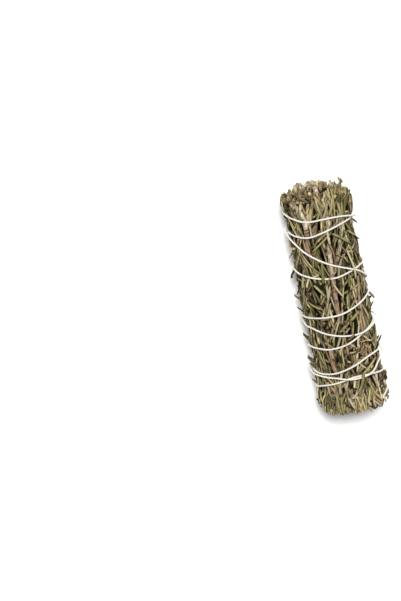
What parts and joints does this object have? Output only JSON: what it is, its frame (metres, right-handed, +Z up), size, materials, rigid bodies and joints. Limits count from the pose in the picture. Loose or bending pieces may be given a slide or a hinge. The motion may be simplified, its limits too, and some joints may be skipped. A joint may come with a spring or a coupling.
{
  "type": "rosemary bundle",
  "caption": "Bundle of dried rosemary sprigs laid side by side, wound criss-cross with white cotton thread, lying on its side.",
  "frame": {"origin": "on the resting surface, straight below the middle of the lying bundle", "axes": "+Y along the bundle, +Z up from the surface that it lies on, +X across it; the thread's loose starting end is at the -Y end"},
  "size_m": [0.0379, 0.118, 0.0363],
  "materials": {
    "leaf_green": "dried matt leaf",
    "leaf_khaki": "dried matt leaf",
    "leaf_olive": "dried matt leaf",
    "leaf_sage": "dried matt leaf",
    "leaf_straw": "dried matt leaf",
    "cotton_thread": "twisted, matt"
  },
  "bodies": {
    "root": {"sprig_outer_01": "leaf_khaki", "sprig_outer_02": "leaf_green", "sprig_outer_03": "leaf_straw", "sprig_outer_04": "leaf_sage", "sprig_outer_05": "leaf_olive", "sprig_outer_06": "leaf_khaki", "sprig_outer_07": "leaf_green", "sprig_outer_08": "leaf_straw", "sprig_outer_09": "leaf_sage", "sprig_outer_10": "leaf_olive", "sprig_outer_11": "leaf_khaki", "sprig_outer_12": "leaf_green", "sprig_middle_01": "leaf_straw", "sprig_middle_02": "leaf_sage", "sprig_middle_03": "leaf_olive", "sprig_middle_04": "leaf_khaki", "sprig_middle_05": "leaf_green", "sprig_middle_06": "leaf_straw", "sprig_heart": "leaf_sage", "cotton_thread": "cotton_thread"}
  },
  "joints": []
}
